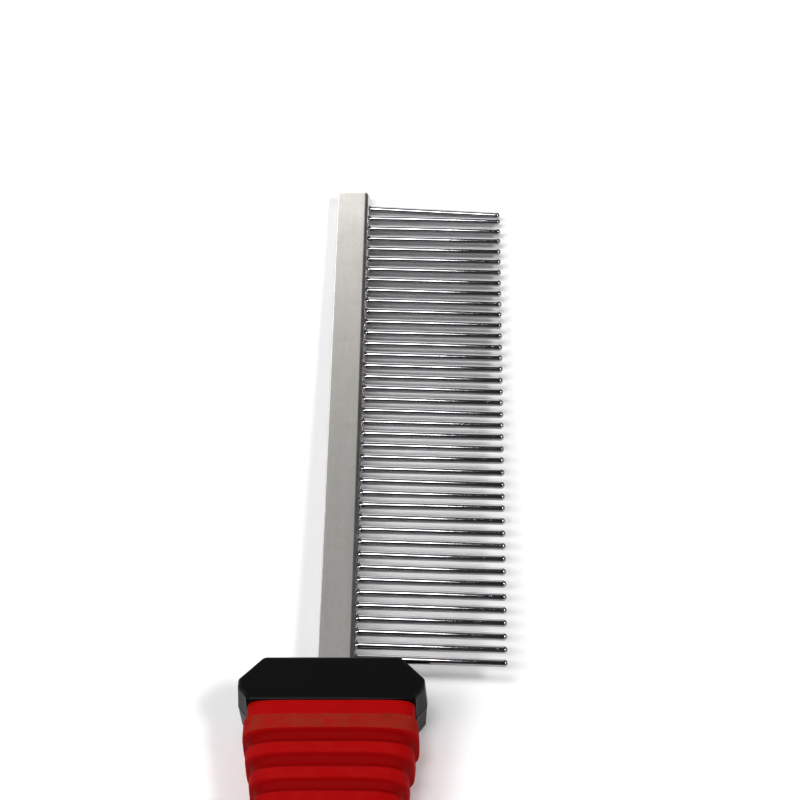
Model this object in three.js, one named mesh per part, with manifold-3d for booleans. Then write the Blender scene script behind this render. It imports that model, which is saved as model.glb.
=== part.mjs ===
// Steel grooming comb: a flat steel spine with a row of round steel teeth
// pressed into its edge, a tang running back into a black plastic handle core
// with a flared finger guard, and a ribbed red rubber sleeve moulded round the core.
//
// Millimetres, +Z up. X runs from the spine towards the tooth tips, Y runs from
// the handle towards the far end of the spine. The whole part is laid out round
// the spine's centreline (X = 0, Z = 0, Y = 0 just ahead of the guard)
// and then moved so that the origin is the centre of the underside of its box.

import * as THREE from 'three';
import { mergeVertices } from 'three/addons/utils/BufferGeometryUtils.js';
import Module from 'manifold-3d';

const wasm = await Module();
wasm.setup();

// ---------------------------------------------------------------- dimensions

const TOOTH_COUNT = 40;
const TOOTH_PITCH = 2.8;
const FIRST_TOOTH_Y = 2.7;      // first tooth's root
const TOOTH_ROOT_R = 0.72;      // tooth radius where it leaves the spine
const TOOTH_TIP_R = 0.65;       // radius just before the rounded end
const TOOTH_REACH = 29.2;       // spine centreline to tooth tip, along X
const TOOTH_RAKE = 2.4;         // teeth lean back towards the handle, degrees
const LAST_TOOTH_RAKE = 4.5;    // the end tooth is bent a little further
const TOOTH_SIDES = 12;
const SHANK_DEPTH = 3.9;        // length of tooth buried in the spine
const HOLE_DEPTH = 4.0;
const HOLE_CLEARANCE = 0.06;    // radial, between shank and hole

const SPINE_WIDTH = 6.36;
const SPINE_THICKNESS = 3.0;
const SPINE_TOOTH_EDGE_R = 1.1; // rounded edges on the toothed side
const SPINE_BACK_EDGE_R = 0.3;  // nearly square edges on the back
const SPINE_END_Y = 115.4;
const SPINE_END_CORNER_R = 0.9;
const TANG_END_Y = -45.0;
const TANG_HOLE_R = 1.6;        // two cross holes the core is moulded through
const TANG_HOLES_Y = [-20.0, -36.0];
const POST_R = 1.5;
const TANG_GAP = 0.1;           // all round the tang

const GUARD_HALF_HEIGHT = 6.0;
const GUARD_DRAFT = 0.35;       // outward draft at the parting plane
const GUARD_FRONT_Y = -0.8;    // front face at the parting plane
const GUARD_FRONT_HALF = 11.3;  // half widths of the top and bottom faces
const GUARD_WIDE_HALF = 15.6;
const GUARD_WIDE_Y = [-5.65, -7.2];
const GUARD_REAR_Y = -9.9;
const GUARD_REAR_HALF = 13.8;
const HANDLE_SHIFT = -0.45;     // handle's middle plane, off the spine's centreline

const SLEEVE_FRONT_Y = -9.95;
const SLEEVE_REAR_Y = -84.0;
const SLEEVE_GAP = 0.1;         // between the sleeve's bore and the core
const RIBS_Y = [                // front and rear foot of each finger rib
  [-12.7, -15.9], [-18.0, -20.65], [-22.85, -25.5],
  [-27.55, -30.15], [-32.25, -34.85], [-36.95, -39.55],
];
const RIB_RISE = 0.5;           // rib crest above the handle's base surface
const GROOVE_DEPTH = 0.6;       // groove floor below it
const RIB_STEP = 0.4;           // length of a rib's steep rear side along Y
const RIB_RAMP = 1.2;           // length of its sloping front side

const POMMEL_FRONT_Y = -84.1;
const HANG_SLOT_Y = -94.0;
const HANG_SLOT_HALF_LENGTH = 5.0;
const HANG_SLOT_R = 3.0;

const LOFT_SIDES = 24;

// half width, half height and squareness of the handle's outer surface along Y
const HANDLE_PROFILE = [
  { y: -10.2, hw: 14.0, ht: 6.0, n: 8.0 },
  { y: -14.3, hw: 14.2, ht: 6.0, n: 7.0 },
  { y: -19.3, hw: 13.6, ht: 6.05, n: 7.0 },
  { y: -24.5, hw: 12.7, ht: 6.1, n: 6.5 },
  { y: -30.0, hw: 12.0, ht: 6.1, n: 6.0 },
  { y: -40.0, hw: 11.2, ht: 6.1, n: 5.0 },
  { y: -50.0, hw: 11.0, ht: 6.2, n: 3.8 },
  { y: -58.0, hw: 11.5, ht: 6.6, n: 3.6 },
  { y: -66.0, hw: 12.3, ht: 7.0, n: 3.5 },
  { y: -78.0, hw: 12.3, ht: 7.0, n: 3.5 },
  { y: -84.0, hw: 11.9, ht: 6.8, n: 3.5 },
  { y: -90.0, hw: 11.2, ht: 6.4, n: 3.4 },
  { y: -96.0, hw: 10.0, ht: 5.8, n: 3.2 },
  { y: -100.0, hw: 8.2, ht: 5.0, n: 3.0 },
  { y: -102.2, hw: 6.1, ht: 4.1, n: 2.8 },
  { y: -103.0, hw: 4.4, ht: 3.3, n: 2.6 },
];

// thickness of the sleeve's wall, from the groove floor to the core
const SLEEVE_WALL_SIDE = 2.4;
const SLEEVE_WALL_FACE = 2.0;

// ------------------------------------------------------------------- helpers

function toManifold(geometry) {
  const g = geometry.clone();
  g.deleteAttribute('normal');
  g.deleteAttribute('uv');
  const merged = mergeVertices(g, 1e-5);
  return new wasm.Manifold(new wasm.Mesh({
    numProp: 3,
    vertProperties: Float32Array.from(merged.attributes.position.array),
    triVerts: Uint32Array.from(merged.index.array),
  }));
}

function toGeometry(solid) {
  const mesh = solid.getMesh();
  const g = new THREE.BufferGeometry();
  g.setAttribute('position', new THREE.BufferAttribute(Float32Array.from(mesh.vertProperties), 3));
  g.setIndex(new THREE.BufferAttribute(Uint32Array.from(mesh.triVerts), 1));
  g.computeVertexNormals();
  return g;
}

function clean(geometry) {
  geometry.deleteAttribute('normal');
  geometry.deleteAttribute('uv');
  const g = mergeVertices(geometry, 1e-5);
  g.computeVertexNormals();
  return g;
}

function profileAt(y) {
  const p = HANDLE_PROFILE;
  if (y >= p[0].y) return { ...p[0] };
  for (let i = 0; i + 1 < p.length; i++) {
    if (y <= p[i].y && y >= p[i + 1].y) {
      const t = (p[i].y - y) / (p[i].y - p[i + 1].y);
      return {
        hw: p[i].hw + t * (p[i + 1].hw - p[i].hw),
        ht: p[i].ht + t * (p[i + 1].ht - p[i].ht),
        n: p[i].n + t * (p[i + 1].n - p[i].n),
      };
    }
  }
  return { ...p[p.length - 1] };
}

// A closed body whose section is a rounded rectangle (superellipse) that changes
// from station to station; stations run from high Y to low Y. The sides are
// turned by half a step, so that the top, bottom and side facets are flat.
function loft(stations) {
  const steps = stations.length - 1;
  const g = new THREE.CylinderGeometry(1, 1, 1, LOFT_SIDES, steps, false, Math.PI / LOFT_SIDES);
  const pos = g.attributes.position;
  const flat = Math.cos(Math.PI / LOFT_SIDES);
  for (let i = 0; i < pos.count; i++) {
    const row = Math.round((0.5 - pos.getY(i)) * steps);
    const s = stations[row];
    const e = 2 / s.n;
    const bend = (c) => Math.sign(c) * Math.pow(Math.abs(c) / flat, e);
    const onAxis = Math.hypot(pos.getX(i), pos.getZ(i)) < 0.5;
    pos.setXYZ(i,
      HANDLE_SHIFT + (onAxis ? 0 : s.hw * bend(pos.getX(i))),
      s.y,
      onAxis ? 0 : s.ht * bend(pos.getZ(i)));
  }
  return toManifold(g);
}

function box(x0, x1, y0, y1, z0, z1) {
  const g = new THREE.BoxGeometry(x1 - x0, y1 - y0, z1 - z0);
  g.translate((x0 + x1) / 2, (y0 + y1) / 2, (z0 + z1) / 2);
  return toManifold(g);
}

// plan outline (X, Y) extruded along Z between z0 and z1
function plate(shape, z0, z1, curveSegments = 6) {
  const g = new THREE.ExtrudeGeometry(shape, { depth: z1 - z0, bevelEnabled: false, curveSegments });
  g.translate(0, 0, z0);
  return toManifold(g);
}

function verticalRod(x, y, r, z0, z1, sides = 16) {
  const g = new THREE.CylinderGeometry(r, r, z1 - z0, sides);
  g.rotateX(Math.PI / 2);
  g.translate(x, y, (z0 + z1) / 2);
  return toManifold(g);
}

// ----------------------------------------------------------------- materials

const groundSteel = new THREE.MeshStandardMaterial({ color: 0xa9a8a2, roughness: 0.34, metalness: 1.0 });
const brightSteel = new THREE.MeshStandardMaterial({ color: 0xd2d4d6, roughness: 0.1, metalness: 1.0 });
const blackPlastic = new THREE.MeshStandardMaterial({ color: 0x161616, roughness: 0.45, metalness: 0.0 });
const redRubber = new THREE.MeshStandardMaterial({ color: 0xa50f11, roughness: 0.6, metalness: 0.0 });

// --------------------------------------------------------------------- teeth

// One tooth along +X from the centreline of its hole: buried shank, gently
// tapered needle and hemispherical end. The turned profile closes on the axis.
function toothGeometry(rootX, tipX) {
  const start = rootX - SHANK_DEPTH;
  const points = [
    new THREE.Vector2(0, start),
    new THREE.Vector2(TOOTH_ROOT_R, start),
    new THREE.Vector2(TOOTH_ROOT_R, rootX),
    new THREE.Vector2(TOOTH_TIP_R, tipX - TOOTH_TIP_R),
    new THREE.Vector2(TOOTH_TIP_R * Math.cos(Math.PI / 6), tipX - TOOTH_TIP_R * (1 - Math.sin(Math.PI / 6))),
    new THREE.Vector2(TOOTH_TIP_R * Math.cos(Math.PI / 3), tipX - TOOTH_TIP_R * (1 - Math.sin(Math.PI / 3))),
    new THREE.Vector2(0, tipX),
  ];
  const g = new THREE.LatheGeometry(points, TOOTH_SIDES, Math.PI / TOOTH_SIDES);
  g.rotateZ(-Math.PI / 2);
  return clean(g);
}

function holeCutter(rootX, rakeDegrees, y) {
  const r = TOOTH_ROOT_R + HOLE_CLEARANCE;
  const points = [
    new THREE.Vector2(0, rootX - HOLE_DEPTH),
    new THREE.Vector2(r, rootX - HOLE_DEPTH),
    new THREE.Vector2(r, rootX + 2),
    new THREE.Vector2(0, rootX + 2),
  ];
  const g = new THREE.LatheGeometry(points, TOOTH_SIDES, Math.PI / TOOTH_SIDES);
  g.rotateZ(-Math.PI / 2);
  g.rotateZ(-THREE.MathUtils.degToRad(rakeDegrees));
  g.translate(0, y, 0);
  return toManifold(g);
}

const rake = (i) => (i === TOOTH_COUNT ? LAST_TOOTH_RAKE : TOOTH_RAKE);
const rootY = (i) => FIRST_TOOTH_Y + (i - 1) * TOOTH_PITCH;

// --------------------------------------------------------------------- spine

function spineGeometry() {
  const w = SPINE_WIDTH / 2;
  const t = SPINE_THICKNESS / 2;
  const a = SPINE_TOOTH_EDGE_R;
  const b = SPINE_BACK_EDGE_R;
  const section = new THREE.Shape();
  section.moveTo(-w + b, -t);
  section.lineTo(w - a, -t);
  section.absarc(w - a, -t + a, a, -Math.PI / 2, 0, false);
  section.lineTo(w, t - a);
  section.absarc(w - a, t - a, a, 0, Math.PI / 2, false);
  section.lineTo(-w + b, t);
  section.absarc(-w + b, t - b, b, Math.PI / 2, Math.PI, false);
  section.lineTo(-w, -t + b);
  section.absarc(-w + b, -t + b, b, Math.PI, 1.5 * Math.PI, false);
  const bar = new THREE.ExtrudeGeometry(section, { depth: SPINE_END_Y - TANG_END_Y, bevelEnabled: false, curveSegments: 4 });
  bar.rotateX(-Math.PI / 2);            // length along +Y, section's y axis along -Z
  bar.translate(0, TANG_END_Y, 0);

  const c = SPINE_END_CORNER_R;
  const plan = new THREE.Shape();
  plan.moveTo(-w - 1, TANG_END_Y - 1);
  plan.lineTo(w + 1, TANG_END_Y - 1);
  plan.lineTo(w + 1, SPINE_END_Y - c);
  plan.lineTo(w, SPINE_END_Y - c);
  plan.absarc(w - c, SPINE_END_Y - c, c, 0, Math.PI / 2, false);
  plan.absarc(-w + c, SPINE_END_Y - c, c, Math.PI / 2, Math.PI, false);
  plan.lineTo(-w - 1, SPINE_END_Y - c);

  let solid = toManifold(bar).intersect(plate(plan, -t - 1, t + 1, 4));
  for (const y of TANG_HOLES_Y) solid = solid.subtract(verticalRod(0, y, TANG_HOLE_R, -t - 1, t + 1));
  for (let i = 1; i <= TOOTH_COUNT; i++) {
    solid = solid.subtract(holeCutter(w, rake(i), rootY(i)));
  }
  return toGeometry(solid);
}

// -------------------------------------------------------------------- handle

function coreStation(y) {
  const p = profileAt(y);
  return { y, hw: p.hw - SLEEVE_WALL_SIDE, ht: p.ht - SLEEVE_WALL_FACE, n: p.n };
}

const CORE_STATIONS_Y = [-14.3, -24.5, -30, -40, -50, -58, -66, -78];

function handleCoreGeometry() {
  // finger guard: drafted prism, widest at the parting plane
  const plan = new THREE.Shape();
  const half = GUARD_REAR_HALF - 0.75 * (GUARD_WIDE_HALF - GUARD_REAR_HALF);   // taper carried on past the cut
  plan.moveTo(-GUARD_FRONT_HALF, GUARD_FRONT_Y - GUARD_DRAFT);
  plan.lineTo(-GUARD_WIDE_HALF, GUARD_WIDE_Y[0]);
  plan.lineTo(-GUARD_WIDE_HALF, GUARD_WIDE_Y[1]);
  plan.lineTo(-GUARD_REAR_HALF, GUARD_REAR_Y);
  plan.lineTo(-half, GUARD_REAR_Y - 2.1);
  plan.lineTo(half, GUARD_REAR_Y - 2.1);
  plan.lineTo(GUARD_REAR_HALF, GUARD_REAR_Y);
  plan.lineTo(GUARD_WIDE_HALF, GUARD_WIDE_Y[1]);
  plan.lineTo(GUARD_WIDE_HALF, GUARD_WIDE_Y[0]);
  plan.lineTo(GUARD_FRONT_HALF, GUARD_FRONT_Y - GUARD_DRAFT);
  const guard = new THREE.ExtrudeGeometry(plan, {
    depth: 0.3, bevelEnabled: true, bevelSegments: 1,
    bevelThickness: GUARD_HALF_HEIGHT - 0.15, bevelSize: GUARD_DRAFT,
  });
  guard.translate(HANDLE_SHIFT, 0, -0.15);
  let solid = toManifold(guard).intersect(box(-30, 30, GUARD_REAR_Y, 5, -20, 20));

  // core bar under the sleeve
  solid = solid.add(loft([coreStation(-9.0), ...CORE_STATIONS_Y.map(coreStation), coreStation(-84.2)]));

  // pommel behind the sleeve
  const rear = HANDLE_PROFILE.filter((s) => s.y < POMMEL_FRONT_Y);
  solid = solid.add(loft([{ ...profileAt(POMMEL_FRONT_Y), y: POMMEL_FRONT_Y }, ...rear]));

  // socket for the tang, crossed by two posts that pass through the tang
  const w = SPINE_WIDTH / 2 + TANG_GAP;
  const t = SPINE_THICKNESS / 2 + TANG_GAP;
  solid = solid.subtract(box(-w, w, TANG_END_Y - TANG_GAP, 5, -t, t));
  for (const y of TANG_HOLES_Y) solid = solid.add(verticalRod(0, y, POST_R, -t - 0.5, t + 0.5));

  // hanging slot through the pommel
  const slot = new THREE.Shape();
  const h = HANG_SLOT_HALF_LENGTH - HANG_SLOT_R;
  const c = HANDLE_SHIFT;
  slot.moveTo(c - h, HANG_SLOT_Y - HANG_SLOT_R);
  slot.lineTo(c + h, HANG_SLOT_Y - HANG_SLOT_R);
  slot.absarc(c + h, HANG_SLOT_Y, HANG_SLOT_R, -Math.PI / 2, Math.PI / 2, false);
  slot.lineTo(c - h, HANG_SLOT_Y + HANG_SLOT_R);
  slot.absarc(c - h, HANG_SLOT_Y, HANG_SLOT_R, Math.PI / 2, 1.5 * Math.PI, false);
  solid = solid.subtract(plate(slot, -12, 12, 8));
  return toGeometry(solid);
}

function gripSleeveGeometry() {
  const outer = [{ ...profileAt(SLEEVE_FRONT_Y), y: SLEEVE_FRONT_Y }];
  const at = (y, rise) => {
    const p = profileAt(y);
    outer.push({ y, hw: p.hw + rise, ht: p.ht + rise, n: p.n });
  };
  RIBS_Y.forEach(([front, rear], i) => {
    if (i === 0) {
      at(front, 0);
      at(front - RIB_STEP, RIB_RISE);
    } else {
      at(front + RIB_RAMP, -GROOVE_DEPTH);
      at(front, RIB_RISE);
    }
    at(rear, RIB_RISE);
    at(rear - RIB_STEP, -GROOVE_DEPTH);
  });
  for (const y of [-43.5, -50, -54, -58, -62, -66, -78, SLEEVE_REAR_Y]) at(y, 0);

  const bore = (y, s) => ({ ...s, y, hw: s.hw + SLEEVE_GAP, ht: s.ht + SLEEVE_GAP });
  const inner = [bore(-9.0, coreStation(-9.0)),
    ...CORE_STATIONS_Y.map((y) => bore(y, coreStation(y))),
    bore(-84.2, coreStation(-84.2)), bore(-86.0, coreStation(-84.2))];
  return toGeometry(loft(outer).subtract(loft(inner)));
}

// ------------------------------------------------------------------ assembly

const comb = new THREE.Group();
comb.name = 'grooming_comb';

function addMesh(parent, name, geometry, material) {
  const mesh = new THREE.Mesh(geometry, material.clone());
  mesh.name = name;
  parent.add(mesh);
  return mesh;
}

addMesh(comb, 'spine', spineGeometry(), groundSteel);

const teeth = new THREE.Group();
for (let i = 1; i <= TOOTH_COUNT; i++) {
  const tooth = addMesh(teeth, `tooth_${String(i).padStart(2, '0')}`, toothGeometry(SPINE_WIDTH / 2, TOOTH_REACH), brightSteel);
  tooth.position.set(0, rootY(i), 0);
  tooth.rotation.z = -THREE.MathUtils.degToRad(rake(i));
}
comb.add(teeth);

addMesh(comb, 'handle_core', handleCoreGeometry(), blackPlastic);
addMesh(comb, 'grip_sleeve', gripSleeveGeometry(), redRubber);

// origin at the centre of the underside of the whole comb
comb.updateMatrixWorld(true);
const extent = new THREE.Box3().setFromObject(comb, true);
comb.position.set(
  -(extent.min.x + extent.max.x) / 2,
  -(extent.min.y + extent.max.y) / 2,
  -extent.min.z,
);

export default comb;
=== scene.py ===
import math
import random

import bmesh
import bpy
import numpy as np
from mathutils import Matrix, Vector


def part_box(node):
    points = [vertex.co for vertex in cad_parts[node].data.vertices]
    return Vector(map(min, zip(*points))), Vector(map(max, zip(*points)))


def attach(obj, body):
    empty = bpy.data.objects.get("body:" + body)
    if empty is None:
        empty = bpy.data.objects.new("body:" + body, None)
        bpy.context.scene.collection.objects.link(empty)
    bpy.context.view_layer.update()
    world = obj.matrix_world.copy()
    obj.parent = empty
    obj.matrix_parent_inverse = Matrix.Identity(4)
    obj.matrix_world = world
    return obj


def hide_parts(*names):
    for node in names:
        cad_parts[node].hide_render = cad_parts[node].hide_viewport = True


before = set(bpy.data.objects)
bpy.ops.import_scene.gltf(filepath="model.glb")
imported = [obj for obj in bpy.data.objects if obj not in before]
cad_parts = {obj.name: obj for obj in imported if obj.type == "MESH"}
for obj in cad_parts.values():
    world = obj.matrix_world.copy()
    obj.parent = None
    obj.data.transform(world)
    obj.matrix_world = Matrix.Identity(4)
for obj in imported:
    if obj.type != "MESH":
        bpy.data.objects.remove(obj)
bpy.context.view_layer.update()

random.seed(11)
rng = np.random.default_rng(11)

# ------------------------------------------------------------------ placement
# Everything below is laid out in millimetres round the spine's centreline:
# x from the spine to the tooth tips, y away from the handle (0 is one pitch
# before the first tooth), z up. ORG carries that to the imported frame, in metres.

PITCH = 2.8
FIRST_TOOTH = 2.68
TEETH = 40
SPINE_END = 115.4
TANG_END = -45.0
SPINE_W = 6.36
SPINE_T = 3.0
HANDLE_X = -0.45

_lo, _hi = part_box("spine")
ORG = Vector(((_lo[0] + _hi[0]) / 2, _hi[1] - SPINE_END / 1000, (_lo[2] + _hi[2]) / 2))


def at(x, y, z):
    return Vector((ORG.x + x / 1000, ORG.y + y / 1000, ORG.z + z / 1000))


def to_frame(points):
    p = np.asarray(points, float) / 1000.0
    return p + np.array(ORG)[None, :]


def new_object(name, verts, faces, smooth=True, sharp_deg=None):
    """A mesh object from points in the layout's millimetres."""
    me = bpy.data.meshes.new(name)
    me.from_pydata([tuple(v) for v in to_frame(verts)], [], [tuple(int(i) for i in f) for f in faces])
    me.update()
    me.validate()
    bm = bmesh.new()
    bm.from_mesh(me)
    bmesh.ops.recalc_face_normals(bm, faces=bm.faces)
    bm.to_mesh(me)
    bm.free()
    for p in me.polygons:
        p.use_smooth = smooth
    if sharp_deg is not None:
        me.set_sharp_from_angle(angle=math.radians(sharp_deg))
    ob = bpy.data.objects.new(name, me)
    bpy.context.scene.collection.objects.link(ob)
    return ob


def float_attribute(ob, name, values):
    a = ob.data.attributes.new(name, "FLOAT", "POINT")
    a.data.foreach_set("value", np.asarray(values, np.float32))


def grid_faces(rows, cols, offset=0, closed=True):
    out = []
    last = cols if closed else cols - 1
    for r in range(rows - 1):
        for c in range(last):
            d = (c + 1) % cols
            out.append((offset + r * cols + c, offset + r * cols + d,
                        offset + (r + 1) * cols + d, offset + (r + 1) * cols + c))
    return out


# ------------------------------------------------------------------ materials

class Nodes:
    """Short helper for building a node tree."""

    def __init__(self, name):
        self.mat = bpy.data.materials.new(name)
        self.mat.use_nodes = True
        self.tree = self.mat.node_tree
        self.bsdf = self.tree.nodes["Principled BSDF"]

    def new(self, kind, **settings):
        n = self.tree.nodes.new(kind)
        for k, v in settings.items():
            setattr(n, k, v)
        return n

    def link(self, a, b):
        self.tree.links.new(a, b)

    def value(self, socket, v):
        if hasattr(v, "is_linked") or hasattr(v, "links"):
            self.link(v, socket)
        else:
            socket.default_value = v

    def coords(self):
        if not hasattr(self, "_coords"):
            self._coords = self.new("ShaderNodeTexCoord").outputs["Object"]
        return self._coords

    def scaled(self, scale):
        m = self.new("ShaderNodeMapping")
        self.link(self.coords(), m.inputs["Vector"])
        m.inputs["Scale"].default_value = scale
        return m.outputs["Vector"]

    def noise(self, scale, detail=4.0, rough=0.55, vector=None, distortion=0.0):
        n = self.new("ShaderNodeTexNoise")
        self.link(vector if vector is not None else self.coords(), n.inputs["Vector"])
        n.inputs["Scale"].default_value = scale
        n.inputs["Detail"].default_value = detail
        n.inputs["Roughness"].default_value = rough
        n.inputs["Distortion"].default_value = distortion
        return n.outputs["Fac"]

    def voronoi(self, scale, feature="F1", vector=None, randomness=1.0):
        n = self.new("ShaderNodeTexVoronoi", feature=feature)
        self.link(vector if vector is not None else self.coords(), n.inputs["Vector"])
        n.inputs["Scale"].default_value = scale
        n.inputs["Randomness"].default_value = randomness
        return n.outputs["Distance"]

    def ramp(self, fac, stops, interpolation="EASE"):
        n = self.new("ShaderNodeValToRGB")
        n.color_ramp.interpolation = interpolation
        els = n.color_ramp.elements
        while len(els) < len(stops):
            els.new(0.5)
        for e, (pos, col) in zip(els, stops):
            e.position = pos
            e.color = (col, col, col, 1) if isinstance(col, (int, float)) else (*col, 1)
        self.link(fac, n.inputs["Fac"])
        return n.outputs["Color"]

    def remap(self, v, a, b, c, d):
        n = self.new("ShaderNodeMapRange")
        self.link(v, n.inputs["Value"])
        for k, x in zip(("From Min", "From Max", "To Min", "To Max"), (a, b, c, d)):
            n.inputs[k].default_value = x
        return n.outputs["Result"]

    def math(self, op, a, b=None, clamp=False):
        n = self.new("ShaderNodeMath", operation=op, use_clamp=clamp)
        self.value(n.inputs[0], a)
        if b is not None:
            self.value(n.inputs[1], b)
        return n.outputs[0]

    def mix(self, fac, a, b, blend="MIX"):
        n = self.new("ShaderNodeMix", data_type="RGBA", blend_type=blend)
        self.value(n.inputs["Factor"], fac)
        ins = [s for s in n.inputs if s.type == "RGBA"]
        for s, v in zip(ins, (a, b)):
            if hasattr(v, "links"):
                self.link(v, s)
            else:
                s.default_value = (*v, 1)
        return [s for s in n.outputs if s.type == "RGBA"][0]

    def attribute(self, name):
        n = self.new("ShaderNodeAttribute", attribute_name=name)
        return n.outputs["Fac"]

    def bump(self, height, strength, distance, normal=None):
        n = self.new("ShaderNodeBump")
        self.link(height, n.inputs["Height"])
        n.inputs["Strength"].default_value = strength
        n.inputs["Distance"].default_value = distance
        if normal is not None:
            self.link(normal, n.inputs["Normal"])
        return n.outputs["Normal"]

    def out(self, color=None, roughness=None, normal=None, **constants):
        b = self.bsdf.inputs
        if color is not None:
            self.link(color, b["Base Color"])
        if roughness is not None:
            self.link(roughness, b["Roughness"])
        if normal is not None:
            self.link(normal, b["Normal"])
        for k, v in constants.items():
            b[k.replace("_", " ")].default_value = v
        return self.mat


def make_ground_steel():
    """Flat face of the spine: tumbled and lightly ground, warm grey, mottled."""
    n = Nodes("ground_steel")
    cloud = n.noise(150, 5, 0.6)
    fine = n.noise(2600, 3, 0.6)
    along = n.noise(900, 3, 0.6, vector=n.scaled((1.0, 0.08, 1.0)))
    base = n.ramp(cloud, [(0.3, (0.685, 0.655, 0.615)), (0.5, (0.735, 0.710, 0.672)), (0.72, (0.775, 0.755, 0.720))])
    grain = n.ramp(fine, [(0.32, 0.90), (0.6, 1.0)])
    base = n.mix(0.55, base, grain, "MULTIPLY")
    streak = n.ramp(along, [(0.25, 0.90), (0.7, 1.0)])
    base = n.mix(0.4, base, streak, "MULTIPLY")
    pits = n.voronoi(420)
    pit = n.math("LESS_THAN", pits, 0.055)
    few = n.math("GREATER_THAN", n.noise(300, 2, 0.5), 0.6)
    pit = n.math("MULTIPLY", pit, few)
    base = n.mix(n.math("MULTIPLY", pit, 0.6), base, (0.16, 0.15, 0.14))
    rough = n.remap(cloud, 0.3, 0.75, 0.37, 0.30)
    rough = n.math("ADD", rough, n.remap(fine, 0.3, 0.7, -0.03, 0.05))
    h = n.math("ADD", n.math("MULTIPLY", fine, 0.6), n.math("MULTIPLY", along, 0.4))
    h = n.math("SUBTRACT", h, n.math("MULTIPLY", pit, 0.6))
    nrm = n.bump(h, 0.22, 0.00004)
    return n.out(base, rough, nrm, Metallic=1.0)


def make_polished_steel():
    """Rounded edges, back and end of the spine, polished by handling."""
    n = Nodes("polished_steel")
    cloud = n.noise(260, 4, 0.55)
    fine = n.noise(3200, 3, 0.6, vector=n.scaled((1.0, 0.15, 1.0)))
    base = n.ramp(cloud, [(0.3, (0.56, 0.553, 0.54)), (0.7, (0.66, 0.652, 0.64))])
    rough = n.remap(cloud, 0.3, 0.7, 0.20, 0.26)
    rough = n.math("ADD", rough, n.remap(fine, 0.3, 0.7, -0.01, 0.03))
    nrm = n.bump(fine, 0.15, 0.00003)
    return n.out(base, rough, nrm, Metallic=1.0)


def make_bright_steel():
    """Round wire teeth: bright, faint drawing marks and plating specks."""
    n = Nodes("bright_steel")
    lengthwise = n.noise(1500, 3, 0.6, vector=n.scaled((0.12, 1.0, 1.0)))
    speck = n.noise(2400, 2, 0.7)
    cloud = n.noise(190, 3, 0.5)
    base = n.ramp(cloud, [(0.3, (0.385, 0.382, 0.388)), (0.7, (0.435, 0.430, 0.440))])
    dull = n.ramp(speck, [(0.60, 0.0), (0.72, 1.0)])
    base = n.mix(n.math("MULTIPLY", dull, 0.25), base, (0.30, 0.29, 0.28))
    rough = n.remap(cloud, 0.3, 0.7, 0.045, 0.075)
    rough = n.math("ADD", rough, n.math("MULTIPLY", dull, 0.16))
    h = n.math("ADD", n.math("MULTIPLY", lengthwise, 0.6), n.math("MULTIPLY", speck, 0.4))
    nrm = n.bump(h, 0.05, 0.00002)
    return n.out(base, rough, nrm, Metallic=1.0)


def make_black_plastic():
    """Moulded polypropylene: near black, fine spark texture, rubbed edges, dust."""
    n = Nodes("black_plastic")
    grain = n.noise(3600, 2, 0.5)
    grain2 = n.noise(8000, 2, 0.5)
    cloud = n.noise(60, 2, 0.5)
    base = n.ramp(cloud, [(0.3, (0.0068, 0.0068, 0.0069)), (0.7, (0.0076, 0.0076, 0.0077))])
    edge = n.math("POWER", n.attribute("edge"), 3.0)
    worn = n.math("MULTIPLY", edge, n.remap(n.noise(500, 4, 0.7), 0.35, 0.65, 0.15, 1.0), clamp=True)
    base = n.mix(n.math("MULTIPLY", worn, 0.5), base, (0.050, 0.049, 0.048))
    dust = n.math("LESS_THAN", n.voronoi(330), 0.07)
    keep = n.math("GREATER_THAN", n.noise(170, 2, 0.5), 0.50)
    dust = n.math("MULTIPLY", dust, keep)
    base = n.mix(n.math("MULTIPLY", dust, 0.45), base, (0.10, 0.10, 0.097))
    rough = n.remap(cloud, 0.3, 0.7, 0.285, 0.295)
    rough = n.math("ADD", rough, n.remap(grain, 0.3, 0.7, -0.01, 0.015))
    rough = n.math("SUBTRACT", rough, n.math("MULTIPLY", worn, 0.10))
    h = n.math("ADD", n.math("MULTIPLY", grain, 0.7), n.math("MULTIPLY", grain2, 0.3))
    nrm = n.bump(h, 0.06, 0.00002)
    m = n.out(base, rough, nrm, Metallic=0.0)
    n.bsdf.inputs["Specular IOR Level"].default_value = 0.13
    return m


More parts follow.
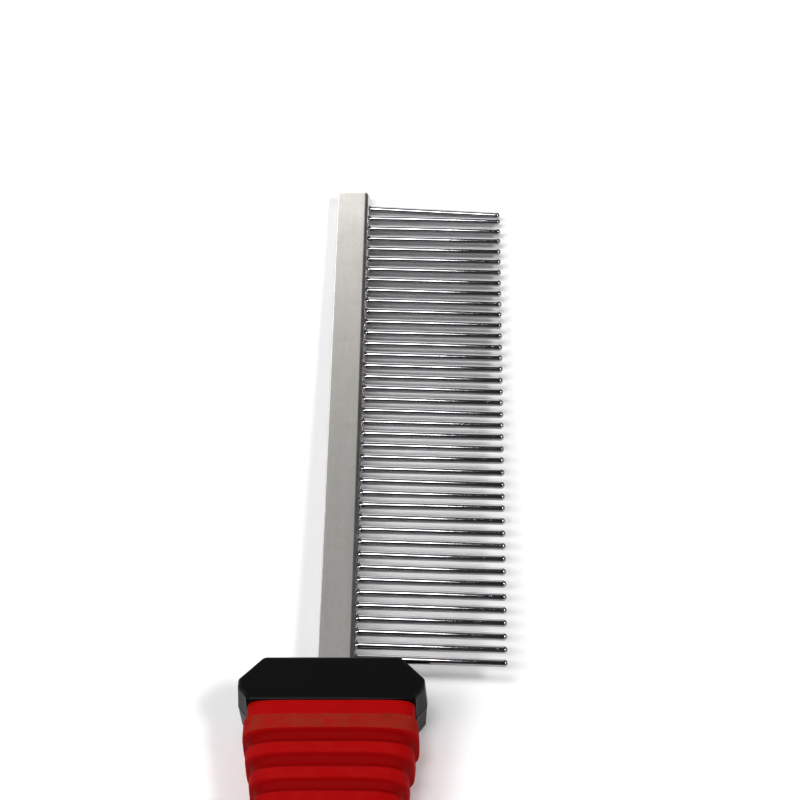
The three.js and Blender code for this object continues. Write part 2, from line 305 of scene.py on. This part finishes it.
def make_red_rubber():
    """Soft moulded rubber: matte red, painted shade in the rib grooves, dusty rubbed rib crests, tiny blemishes."""
    n = Nodes("red_rubber")
    grain = n.noise(2600, 3, 0.55)
    cloud = n.noise(90, 4, 0.6)
    base = n.ramp(cloud, [(0.3, (0.350, 0.0020, 0.0028)), (0.7, (0.378, 0.0027, 0.0034))])
    # painted shade: in the rib grooves the base colour is mixed towards a deeper red, standing in for the shade that
    # falls there
    groove = n.attribute("groove")
    base = n.mix(n.math("MULTIPLY", groove, 0.8), base, (0.245, 0.0006, 0.0010))
    crest = n.attribute("crest")
    first = n.attribute("first_rib")
    rub_noise = n.noise(230, 5, 0.65)
    rub = n.math("MULTIPLY", crest, n.ramp(rub_noise, [(0.38, 0.0), (0.68, 1.0)]), clamp=True)
    base = n.mix(n.math("MULTIPLY", rub, 0.16), base, (0.40, 0.030, 0.028))
    scuff_noise = n.noise(420, 5, 0.7)
    scuff = n.math("MULTIPLY", first, n.ramp(scuff_noise, [(0.30, 0.30), (0.62, 1.0)]), clamp=True)
    base = n.mix(n.math("MULTIPLY", scuff, 0.72), base, (0.272, 0.042, 0.022))
    blot = n.ramp(n.noise(130, 2, 0.5), [(0.56, 0.0), (0.66, 1.0)])
    base = n.mix(n.math("MULTIPLY", n.math("MULTIPLY", blot, first), 0.5), base, (0.20, 0.030, 0.012))
    dot = n.math("LESS_THAN", n.voronoi(250), 0.07)
    keep = n.math("GREATER_THAN", n.noise(140, 2, 0.5), 0.56)
    dot = n.math("MULTIPLY", dot, keep)
    base = n.mix(n.math("MULTIPLY", dot, 0.35), base, (0.50, 0.06, 0.06))
    rough = n.remap(cloud, 0.3, 0.7, 0.56, 0.64)
    rough = n.math("ADD", rough, n.math("MULTIPLY", scuff, 0.10))
    nrm = n.bump(grain, 0.30, 0.00006)
    m = n.out(base, rough, nrm, Metallic=0.0)
    n.bsdf.inputs["Specular IOR Level"].default_value = 0.06
    return m


def make_floor():
    n = Nodes("paper_sweep")
    base = n.ramp(n.noise(9, 4, 0.6), [(0.3, (0.935, 0.935, 0.938)), (0.7, (0.945, 0.945, 0.948))])
    rough = n.remap(n.noise(500, 3, 0.6), 0.3, 0.7, 0.75, 0.9)
    m = n.out(base, rough, None, Metallic=0.0)
    n.bsdf.inputs["Specular IOR Level"].default_value = 0.2
    return m


GROUND = make_ground_steel()
POLISHED = make_polished_steel()
BRIGHT = make_bright_steel()
BLACK = make_black_plastic()
RED = make_red_rubber()

# ----------------------------------------------------------------------- spine


def rounded_section(w, t, r_tooth, r_back, per=10):
    """Outline in x, z, anticlockwise, of the bar's section."""
    pts = []

    def arc(cx, cz, r, a0, a1):
        for i in range(per + 1):
            a = math.radians(a0 + (a1 - a0) * i / per)
            pts.append((cx + r * math.cos(a), cz + r * math.sin(a)))

    h, v = w / 2, t / 2
    arc(h - r_tooth, -v + r_tooth, r_tooth, -90, 0)
    arc(h - r_tooth, v - r_tooth, r_tooth, 0, 90)
    for x in np.linspace(h - r_tooth, -h + r_back, 9)[1:-1]:
        pts.append((x, v))
    arc(-h + r_back, v - r_back, r_back, 90, 180)
    arc(-h + r_back, -v + r_back, r_back, 180, 270)
    for x in np.linspace(-h + r_back, h - r_tooth, 9)[1:-1]:
        pts.append((x, -v))
    return np.array(pts)


def build_spine():
    sec = rounded_section(SPINE_W, SPINE_T, 1.12, 0.30)
    cols = len(sec)
    c = 0.85      # plan radius of the far end's corners
    e = 0.35      # small roll of the end face's edges
    ys = [TANG_END] + list(np.linspace(TANG_END + 2, SPINE_END - c, 70))
    rows = [(y, 0.0, 0.0) for y in ys]
    for i in range(1, 9):
        a = math.pi / 2 * i / 8
        rows.append((SPINE_END - c + c * math.sin(a), c * (1 - math.cos(a)), e * (1 - math.cos(a)) ** 2))
    verts = []
    for y, inset, roll in rows:
        sx = (SPINE_W / 2 - inset) / (SPINE_W / 2)
        sz = (SPINE_T / 2 - roll) / (SPINE_T / 2)
        for x, z in sec:
            verts.append((x * sx, y, z * sz))
    faces = grid_faces(len(rows), cols)
    faces.append(tuple(range(cols)))
    faces.append(tuple((len(rows) - 1) * cols + i for i in range(cols)))
    ob = new_object("spine_bar", verts, faces, sharp_deg=50)
    ob.data.materials.append(GROUND)
    ob.data.materials.append(POLISHED)
    for p in ob.data.polygons:
        p.material_index = 0 if abs(p.normal.z) > 0.985 else 1
    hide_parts("spine")
    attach(ob, "root")
    return ob


# ----------------------------------------------------------------------- teeth

ROOT_R, TIP_R, REACH = 0.72, 0.65, 29.19
RAKE, LAST_RAKE = 2.4, 4.5
SIDES = 32


def tooth_profile():
    """x along the tooth, radius, and how much of the root fillet applies."""
    wall = SPINE_W / 2
    R = 0.46
    out = [(wall - 0.75, ROOT_R, R), (wall - 0.12, ROOT_R, R)]
    for i in range(9):
        d = R * (1 - math.cos(math.pi / 2 * i / 8)) if i < 8 else R
        f = R - math.sqrt(max(0.0, R * R - (R - d) ** 2))
        out.append((wall + d, ROOT_R, f))
    for x in np.linspace(wall + R + 0.6, REACH - TIP_R - 0.4, 14):
        t = (x - wall) / (REACH - TIP_R - wall)
        out.append((x, ROOT_R + t * (TIP_R - ROOT_R), 0.0))
    for i in range(9):
        a = math.pi / 2 * i / 9
        out.append((REACH - TIP_R + TIP_R * math.sin(a), TIP_R * math.cos(a), 0.0))
    return out


def build_tooth(k):
    prof = tooth_profile()
    rake = LAST_RAKE if k == TEETH else RAKE
    y0 = FIRST_TOOTH + (k - 1) * PITCH
    wob_y = 0.0 if k == TEETH else random.uniform(-0.09, 0.09)
    wob_z = random.uniform(-0.07, 0.07)
    bow = random.uniform(-0.05, 0.05)
    ca, sa = math.cos(math.radians(-rake)), math.sin(math.radians(-rake))
    verts = []
    for x, r, f in prof:
        t = max(0.0, (x - SPINE_W / 2) / (REACH - SPINE_W / 2))
        dy = wob_y * t + bow * math.sin(math.pi * t)
        dz = wob_z * t
        for j in range(SIDES):
            a = 2 * math.pi * j / SIDES
            ly = (r + f) * math.cos(a) + dy
            lz = (r + 0.35 * f) * math.sin(a) + dz
            verts.append((x * ca - ly * sa, y0 + x * sa + ly * ca, lz))
    rows = len(prof)
    faces = grid_faces(rows, SIDES)
    faces.append(tuple(range(SIDES)))
    tip = len(verts)
    verts.append((REACH * ca - wob_y * sa, y0 + REACH * sa + wob_y * ca, wob_z))
    last = (rows - 1) * SIDES
    for j in range(SIDES):
        faces.append((last + j, last + (j + 1) % SIDES, tip))
    ob = new_object(f"comb_tooth_{k:02d}", verts, faces, sharp_deg=60)
    ob.data.materials.append(BRIGHT)
    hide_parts(f"tooth_{k:02d}")
    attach(ob, "root")
    return ob


# ---------------------------------------------------------------------- handle

PROFILE = np.array([  # y, half width, half height, squareness
    (-8.0, 14.00, 6.00, 8.0), (-10.2, 14.00, 6.00, 8.0), (-12.4, 14.08, 6.00, 7.5), (-14.3, 14.20, 6.00, 4.6),
    (-19.3, 13.60, 6.05, 4.4), (-24.5, 12.70, 6.10, 4.3), (-30.0, 12.00, 6.10, 4.2), (-40.0, 11.20, 6.10, 4.0),
    (-50.0, 11.00, 6.20, 3.8),
    (-58.0, 11.50, 6.60, 3.6), (-66.0, 12.20, 6.93, 3.5), (-72.0, 12.35, 6.99, 3.5), (-78.0, 12.30, 6.96, 3.5),
    (-84.0, 11.90, 6.80, 3.5), (-90.0, 11.20, 6.40, 3.4), (-96.0, 10.00, 5.80, 3.2), (-100.0, 8.10, 4.95, 3.0),
    (-102.2, 5.70, 3.90, 2.7), (-103.0, 3.60, 2.90, 2.5),
])


def handle_at(y):
    """Half width, half height and squareness at y, on a smooth curve through PROFILE."""
    p = PROFILE[::-1]
    ys = p[:, 0]
    y = min(max(y, ys[0]), ys[-1])
    i = int(np.clip(np.searchsorted(ys, y) - 1, 0, len(ys) - 2))
    h = ys[i + 1] - ys[i]
    t = (y - ys[i]) / h
    out = []
    for c in (1, 2, 3):
        v = p[:, c]

        def slope(j):
            if j <= 0 or j >= len(ys) - 1:
                return 0.0 if j <= 0 else 0.0
            a = (v[j] - v[j - 1]) / (ys[j] - ys[j - 1])
            b = (v[j + 1] - v[j]) / (ys[j + 1] - ys[j])
            return 0.0 if a * b <= 0 else 2 * a * b / (a + b)

        m0, m1 = slope(i), slope(i + 1)
        out.append((2 * t**3 - 3 * t**2 + 1) * v[i] + (t**3 - 2 * t**2 + t) * h * m0
                   + (-2 * t**3 + 3 * t**2) * v[i + 1] + (t**3 - t**2) * h * m1)
    return out


def section_ring(hw, ht, n, cols, grow=0.0):
    """Superellipse points, evenly spaced round the outline, grown outwards along the normal."""
    th = np.linspace(0, 2 * np.pi, 1441)[:-1]
    c, s = np.cos(th), np.sin(th)
    x = hw * np.sign(c) * np.abs(c) ** (2 / n)
    z = ht * np.sign(s) * np.abs(s) ** (2 / n)
    P = np.stack([x, z], 1)
    d = np.linalg.norm(np.roll(P, -1, 0) - P, axis=1)
    L = np.concatenate([[0], np.cumsum(d)])
    want = np.linspace(0, L[-1], cols, endpoint=False)
    Q = np.concatenate([P, P[:1]])
    X = np.interp(want, L, Q[:, 0])
    Z = np.interp(want, L, Q[:, 1])
    if np.any(np.abs(grow) > 0):
        gx = np.sign(X) * (np.abs(X) / hw) ** (n - 1) / hw
        gz = np.sign(Z) * (np.abs(Z) / ht) ** (n - 1) / ht
        g = np.hypot(gx, gz) + 1e-12
        X = X + grow * gx / g
        Z = Z + grow * gz / g
    return X, Z


RIBS = [(-12.7, -15.9), (-18.0, -20.65), (-22.85, -25.5), (-27.55, -30.15), (-32.25, -34.85), (-36.95, -39.55)]
CREST, VALLEY = 0.50, -0.56


def smooth(t):
    t = min(max(t, 0.0), 1.0)
    return t * t * (3 - 2 * t)


def rib_rise(y):
    """Height of the sleeve above its base surface, and how much of a crest y is on."""
    front, rear = RIBS[0]
    if y > front + 0.05:
        return 0.0, 0.3
    for i, (f, r) in enumerate(RIBS):
        fade = 1.0 - 0.07 * i
        crest, valley = CREST * fade, VALLEY * fade
        if i == 0 and y > f - 0.25:
            return crest * 0.72 * smooth((f + 0.05 - y) / 0.30), 0.6
        if y >= r + 0.30:
            # crest: rises a little towards its rear edge
            u = (f - 0.2 - y) / (f - 0.2 - (r + 0.30))
            return crest * (0.72 + 0.28 * math.sin(max(0.0, u) * math.pi / 2)), 1.0
        if y >= r - 1.30:
            # rounded rear edge, steep wall, then a slope that runs out into the valley
            u = (r + 0.30 - y) / 1.60
            if u < 0.12:
                drop = 0.14 * (u / 0.12) ** 2
            elif u < 0.34:
                drop = 0.14 + (u - 0.12) / 0.22 * 0.52
            else:
                drop = 0.66 + 0.34 * (1.0 - (1.0 - (u - 0.34) / 0.66) ** 1.9)
            return crest + (valley - crest) * drop, max(0.0, 1.0 - 5.0 * u)
        if i + 1 < len(RIBS):
            nf = RIBS[i + 1][0]
            nr = RIBS[i + 1][1]
            if y > nf + 0.75:
                return valley, 0.0
            if y > nf - 0.65:
                u = max(0.0, (nf - 0.2 - y) / (nf - 0.5 - nr))
                nx = CREST * (1.0 - 0.07 * (i + 1)) * (0.72 + 0.28 * math.sin(u * math.pi / 2))
                return valley + (nx - valley) * smooth((nf + 0.75 - y) / 1.40), 0.2
        else:
            u = (r - 1.30 - y) / 2.4
            return valley * (1 - smooth(u)), 0.0
    return 0.0, 0.0


def build_sleeve():
    cols = 168
    y0, y1 = -9.93, -84.02
    ys = list(np.arange(y0 - 0.3, -42.0, -0.07)) + list(np.linspace(-42.0, y1 + 0.6, 90))
    rings, crest, first, groove = [], [], [], []

    def push(y, grow, cr, fr):
        # painted shade mask: 1 in the rib grooves, where the rubber's base colour is darkened to stand in for shade
        groove.append(np.full(cols, min(1.0, max(0.0, 0.12 - grow) / 0.45) if -41.2 < y < -15 else 0.0))
        a = handle_at(y)
        n = a[2]
        if grow < 0 and y < -13:      # groove floors are rounder than the crests
            n = n + (3.9 - n) * min(1.0, -grow / 0.5)
        X, Z = section_ring(a[0], a[1], n, cols, grow)
        rings.append(np.stack([X + HANDLE_X, np.full(cols, y), Z], 1))
        crest.append(np.full(cols, cr))
        top = np.clip((Z - 3.5) / 2.0, 0, 1)
        first.append(fr * top)

    # rolled front edge
    for i in range(7):
        a = math.pi / 2 * i / 6
        push(y0 - 0.16 * (1 - math.cos(a)), -0.16 * (1 - math.sin(a)), 0.1, 0.0)
    for y in ys:
        rise, cr = rib_rise(y)
        on_first = 1.0 if RIBS[0][1] + 0.25 < y < RIBS[0][0] - 0.05 else 0.0
        push(y, rise, cr, on_first)
    for i in range(1, 7):
        a = math.pi / 2 * i / 6
        push(y1 + 0.45 - 0.45 * math.sin(a), -0.45 * (1 - math.cos(a)), 0.1, 0.0)
    # inner bore
    for y, wall in ((y1, 2.2), (-60.0, 2.2), (-40.0, 2.2), (-24.5, 2.2), (y0, 2.2)):
        a = handle_at(y)
        X, Z = section_ring(a[0] - wall, a[1] - wall * 0.86, a[2], cols)
        rings.append(np.stack([X + HANDLE_X, np.full(cols, y), Z], 1))
        crest.append(np.zeros(cols))
        first.append(np.zeros(cols))
        groove.append(np.zeros(cols))
    rows = len(rings)
    verts = np.concatenate(rings)
    faces = grid_faces(rows, cols)
    for c in range(cols):   # close the bore back to the first ring
        d = (c + 1) % cols
        faces.append(((rows - 1) * cols + c, (rows - 1) * cols + d, d, c))
    ob = new_object("ribbed_grip", verts, faces, sharp_deg=50)
    float_attribute(ob, "crest", np.concatenate(crest))
    float_attribute(ob, "first_rib", np.concatenate(first))
    float_attribute(ob, "groove", np.concatenate(groove))
    ob.data.materials.append(RED)
    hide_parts("grip_sleeve")
    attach(ob, "root")
    return ob


def round_corners(poly, radii, per=6):
    """Closed polygon with rounded corners; poly anticlockwise."""
    out = []
    n = len(poly)
    for i in range(n):
        p0, p1, p2 = (np.array(poly[(i + j - 1) % n], float) for j in range(3))
        a, b = p0 - p1, p2 - p1
        la, lb = np.linalg.norm(a), np.linalg.norm(b)
        a, b = a / la, b / lb
        ang = math.acos(float(np.clip(np.dot(a, b), -1, 1)))
        r = radii[i]
        d = min(r / math.tan(ang / 2), 0.45 * la, 0.45 * lb)
        r = d * math.tan(ang / 2)
        centre = p1 + (a + b) / np.linalg.norm(a + b) * (r / math.sin(ang / 2))
        s, e = p1 + a * d - centre, p1 + b * d - centre
        a0, a1 = math.atan2(s[1], s[0]), math.atan2(e[1], e[0])
        while a1 < a0:
            a1 += 2 * math.pi
        if a1 - a0 > math.pi:
            a1 -= 2 * math.pi
        for j in range(per + 1):
            t = a0 + (a1 - a0) * j / per
            out.append(centre + r * np.array([math.cos(t), math.sin(t)]))
    return np.array(out)


def subdivide_outline(P, step):
    out = []
    for i in range(len(P)):
        a, b = P[i], P[(i + 1) % len(P)]
        k = max(1, int(np.ceil(np.linalg.norm(b - a) / step)))
        for j in range(k):
            out.append(a + (b - a) * j / k)
    return np.array(out)


def outline_normals(P):
    t = np.roll(P, -1, 0) - np.roll(P, 1, 0)
    t /= np.linalg.norm(t, axis=1)[:, None] + 1e-12
    return np.stack([t[:, 1], -t[:, 0]], 1)


GUARD_TOP = 6.0


def build_core():
    """Finger guard, the bar under the sleeve and the slotted pommel."""
    parts_v, parts_f, edge = [], [], []

    def add(v, f, e):
        o = sum(len(x) for x in parts_v)
        parts_v.append(np.asarray(v, float))
        parts_f.extend([tuple(i + o for i in q) for q in f])
        edge.append(np.asarray(e, float))

    # guard: stacked outlines, drafted from the parting plane to each face
    poly = [(11.65, -0.81), (-11.65, -0.81), (-15.93, -5.50), (-15.93, -7.30), (-14.16, -9.9), (14.16, -9.9),
            (15.93, -7.30), (15.93, -5.50)]
    P = round_corners(poly, [1.6, 1.6, 1.1, 1.1, 0.12, 0.12, 1.1, 1.1])
    P = subdivide_outline(P, 0.7)
    N = outline_normals(P)
    r = 0.55
    levels = [(0.0, -0.02), (0.05, 0.0), (0.5, 0.03)]
    levels += [(z, 0.35 * z / GUARD_TOP) for z in np.linspace(1.0, GUARD_TOP - r, 8)]
    for i in range(1, 8):
        a = math.pi / 2 * i / 7
        levels.append((GUARD_TOP - r + r * math.sin(a), 0.35 + r * (1 - math.cos(a))))
    full = [(-z, d) for z, d in reversed(levels[1:])] + levels
    verts, ed = [], []
    for z, d in full:
        Q = P - N * d
        rear = P[:, 1] < -9.75
        Q[rear, 1] = -9.9 + max(0.0, d - 0.35) * 0.15
        verts.append(np.column_stack([Q[:, 0] + HANDLE_X, Q[:, 1], np.full(len(Q), z)]))
        e = 1.0 if abs(z) > GUARD_TOP - r - 0.05 else (0.55 if abs(z) < 0.06 else 0.0)
        if abs(z) > GUARD_TOP - 0.004:      # the flat faces themselves are not rubbed
            e = 0.05
        rub = np.full(len(Q), e)
        rub[rear] = 0.0
        ed.append(rub)
    cols = len(P)
    V = np.concatenate(verts)
    F = grid_faces(len(full), cols)
    # faces: a few inset rings, then a flat polygon
    for end, z in ((0, -GUARD_TOP), (len(full) - 1, GUARD_TOP)):
        F.append(tuple(end * cols + i for i in range(cols)))
    add(V, F, np.concatenate(ed))

    # bar under the sleeve
    ys = [-9.6, -14.3, -24.5, -30.0, -40.0, -50.0, -58.0, -66.0, -78.0, -84.6]
    cols = 64
    rings = []
    for y in ys:
        a = handle_at(y)
        X, Z = section_ring(a[0] - 2.35, a[1] - 2.05, a[2], cols)
        rings.append(np.stack([X + HANDLE_X, np.full(cols, y), Z], 1))
    V = np.concatenate(rings)
    F = grid_faces(len(ys), cols)
    F.append(tuple(range(cols)))
    F.append(tuple((len(ys) - 1) * cols + i for i in range(cols)))
    add(V, F, np.zeros(len(V)))
    core = new_object("handle_frame", np.concatenate(parts_v), parts_f, sharp_deg=40)
    float_attribute(core, "edge", np.concatenate(edge))

    # pommel
    cols = 128
    rings, e2 = [], []
    y0 = -84.12
    for i in range(6):
        a = math.pi / 2 * i / 5
        y = y0 - 0.45 * (1 - math.cos(a))
        s = handle_at(y)
        X, Z = section_ring(s[0], s[1], s[2], cols, -0.45 * (1 - math.sin(a)))
        rings.append(np.stack([X + HANDLE_X, np.full(cols, y), Z], 1))
        e2.append(np.full(cols, 0.5))
    for y in list(np.linspace(y0 - 0.8, -102.2, 60)) + list(np.linspace(-102.35, -103.0, 8)):
        s = handle_at(y)
        X, Z = section_ring(s[0], s[1], s[2], cols)
        rings.append(np.stack([X + HANDLE_X, np.full(cols, y), Z], 1))
        e2.append(np.zeros(cols))
    s = handle_at(-103.0)
    for k in (0.75, 0.5, 0.25):
        X, Z = section_ring(s[0] * k, s[1] * k, s[2], cols)
        rings.append(np.stack([X + HANDLE_X, np.full(cols, -103.0), Z], 1))
        e2.append(np.zeros(cols))
    V = np.concatenate(rings)
    F = grid_faces(len(rings), cols)
    F.append(tuple(range(cols)))
    F.append(tuple((len(rings) - 1) * cols + i for i in range(cols)))
    pommel = new_object("handle_pommel", V, F)
    float_attribute(pommel, "edge", np.concatenate(e2))

    # hanging slot, with its mouths rolled outwards
    half, rad, yc = 2.0, 3.0, -94.0
    cutter_rings = []
    cc = 64
    ts = np.linspace(0, 2 * np.pi, cc, endpoint=False)

    def slot_ring(grow, z):
        pts = []
        for t in ts:
            c, s_ = math.cos(t), math.sin(t)
            pts.append((HANDLE_X + math.copysign(half, c) + (rad + grow) * c, yc + (rad + grow) * s_, z))
        return pts

    roll, face = 1.0, 5.75
    zs = []
    for i in range(9):
        a = math.pi / 2 * i / 8
        zs.append((face - roll + roll * math.sin(a), roll * (1 - math.cos(a))))
    top = [(z, g) for z, g in zs] + [(face + 0.6, roll + 1.2), (face + 3.0, roll + 1.2)]
    levels = [(-z, g) for z, g in reversed(top)] + [(0.0, 0.0)] + top
    for z, g in levels:
        cutter_rings.append(slot_ring(g, z))
    V = np.array([p for ring in cutter_rings for p in ring])
    F = grid_faces(len(levels), cc)
    F.append(tuple(range(cc)))
    F.append(tuple((len(levels) - 1) * cc + i for i in range(cc)))
    cutter = new_object("slot_cutter", V, F)
    m = pommel.modifiers.new("slot", "BOOLEAN")
    m.operation = "DIFFERENCE"
    m.object = cutter
    m.solver = "EXACT"
    bpy.context.view_layer.update()
    dg = bpy.context.evaluated_depsgraph_get()
    cut = bpy.data.meshes.new_from_object(pommel.evaluated_get(dg))
    pommel.modifiers.clear()
    pommel.data = cut
    bpy.data.objects.remove(cutter)
    for p in pommel.data.polygons:
        p.use_smooth = True
    pommel.data.set_sharp_from_angle(angle=math.radians(38))

    for ob in (core, pommel):
        ob.data.materials.clear()
        ob.data.materials.append(BLACK)
        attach(ob, "root")
    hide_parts("handle_core")
    return core, pommel


spine = build_spine()
teeth = [build_tooth(k) for k in range(1, TEETH + 1)]
sleeve = build_sleeve()
core, pommel = build_core()

# ----------------------------------------------------------------------- floor
# The comb lies on the guard's lower front edge and the far end of the spine.

contact_a = (0.0, -1.5, -6.0)
contact_b = (0.0, SPINE_END - 0.4, -1.5)
slope = (contact_b[2] - contact_a[2]) / (contact_b[1] - contact_a[1])


def floor_z(y):
    return contact_a[2] - 0.02 + (y - contact_a[1]) * slope


size = 1500.0
cells = 6
pts, quads = [], []
for j in range(cells + 1):
    for i in range(cells + 1):
        x = -size + 2 * size * i / cells
        y = -size + 2 * size * j / cells
        pts.append((x, y, floor_z(y)))
for j in range(cells):
    for i in range(cells):
        a = j * (cells + 1) + i
        quads.append((a, a + 1, a + cells + 2, a + cells + 1))
floor = new_object("sweep", pts, quads)
if floor.data.polygons[0].normal.z < 0:
    floor.data.flip_normals()
floor.data.materials.append(make_floor())

# ---------------------------------------------------------------------- camera

CAM_POS = (22.187388, -244.908394, 350.306689)
RIGHT = Vector((0.9996429086537271, 0.013760730664844723, -0.022906275775121093))
DOWN = Vector((-0.004705987049003362, -0.7531570065512043, -0.6578239712633797))
AHEAD = Vector((-0.026304160587460497, 0.6576968646530092, -0.7528233028814865))
cam_data = bpy.data.cameras.new("camera")
cam_data.sensor_fit = "HORIZONTAL"
cam_data.sensor_width = 36.0
cam_data.lens = 2500.0 / 800.0 * 36.0
cam_data.clip_start = 0.01
cam_data.clip_end = 20.0
cam = bpy.data.objects.new("camera", cam_data)
bpy.context.scene.collection.objects.link(cam)
rot = Matrix((RIGHT, -DOWN, -AHEAD)).transposed().to_4x4()
cam.matrix_world = Matrix.Translation(at(*CAM_POS)) @ rot
bpy.context.scene.camera = cam

# ---------------------------------------------------------------------- lights


def area(name, centre, target, size_x, size_y, power, color=(1, 1, 1), spread=180):
    d = bpy.data.lights.new(name, "AREA")
    d.shape = "RECTANGLE"
    d.size = size_x
    d.size_y = size_y
    d.energy = power
    d.color = color
    d.spread = math.radians(spread)
    o = bpy.data.objects.new(name, d)
    bpy.context.scene.collection.objects.link(o)
    c, t = at(*centre), at(*target)
    z = (c - t).normalized()
    x = Vector((1, 0, 0))
    x = (x - z * x.dot(z)).normalized()
    y = z.cross(x)
    o.matrix_world = Matrix.Translation(c) @ Matrix((x, y, z)).transposed().to_4x4()
    return o


# overhead softbox: its right edge ends above the middle of the teeth
area("overhead", (-118, -105, 700), (-118, -104.9, 0), 0.22, 0.25, 1.65)
# two lamps, left and right, a little towards the handle
area("side_lamp_right", (510, -230, 680), (0, 30, 0), 0.22, 0.26, 3.9)
area("side_lamp_left", (-510, -230, 680), (0, 30, 0), 0.38, 0.52, 3.6)
# low pale backdrop behind the far end of the comb
area("backdrop", (-150, 300, 85), (-150, 0, 85.1), 0.42, 0.19, 0.43)

# surroundings: a dark room with a pale backdrop standing behind the comb's far end
world = bpy.data.worlds.new("studio")
bpy.context.scene.world = world
world.use_nodes = True
wt = world.node_tree
bg = wt.nodes["Background"]
tc = wt.nodes.new("ShaderNodeTexCoord")
sep = wt.nodes.new("ShaderNodeSeparateXYZ")
wt.links.new(tc.outputs["Generated"], sep.inputs[0])


def world_step(axis, a, b, v0, v1):
    n = wt.nodes.new("ShaderNodeMapRange")
    n.interpolation_type = "SMOOTHSTEP"
    wt.links.new(sep.outputs[axis], n.inputs["Value"])
    for k, v in (("From Min", a), ("From Max", b), ("To Min", v0), ("To Max", v1)):
        n.inputs[k].default_value = v
    return n.outputs["Result"]


def world_mul(a, b, op="MULTIPLY"):
    n = wt.nodes.new("ShaderNodeMath")
    n.operation = op
    wt.links.new(a, n.inputs[0])
    if isinstance(b, float):
        n.inputs[1].default_value = b
    else:
        wt.links.new(b, n.inputs[1])
    return n.outputs[0]


back = world_mul(world_step("Y", 0.05, 0.45, 0.0, 1.0), world_step("Z", 0.75, 0.97, 0.42, 0.22))
back = world_mul(back, world_step("X", 0.10, 0.40, 1.0, 0.25))
low = world_mul(world_step("Y", -0.75, -0.9, 0.0, 0.10), 0.06, "ADD")
back = world_mul(back, low, "ADD")
wt.links.new(back, bg.inputs["Strength"])
bg.inputs["Color"].default_value = (0.97, 0.98, 1.0, 1)

scene = bpy.context.scene
scene.view_settings.view_transform = "Standard"
scene.view_settings.look = "None"
scene.view_settings.exposure = 0.0
scene.view_settings.gamma = 0.8

bpy.context.view_layer.update()
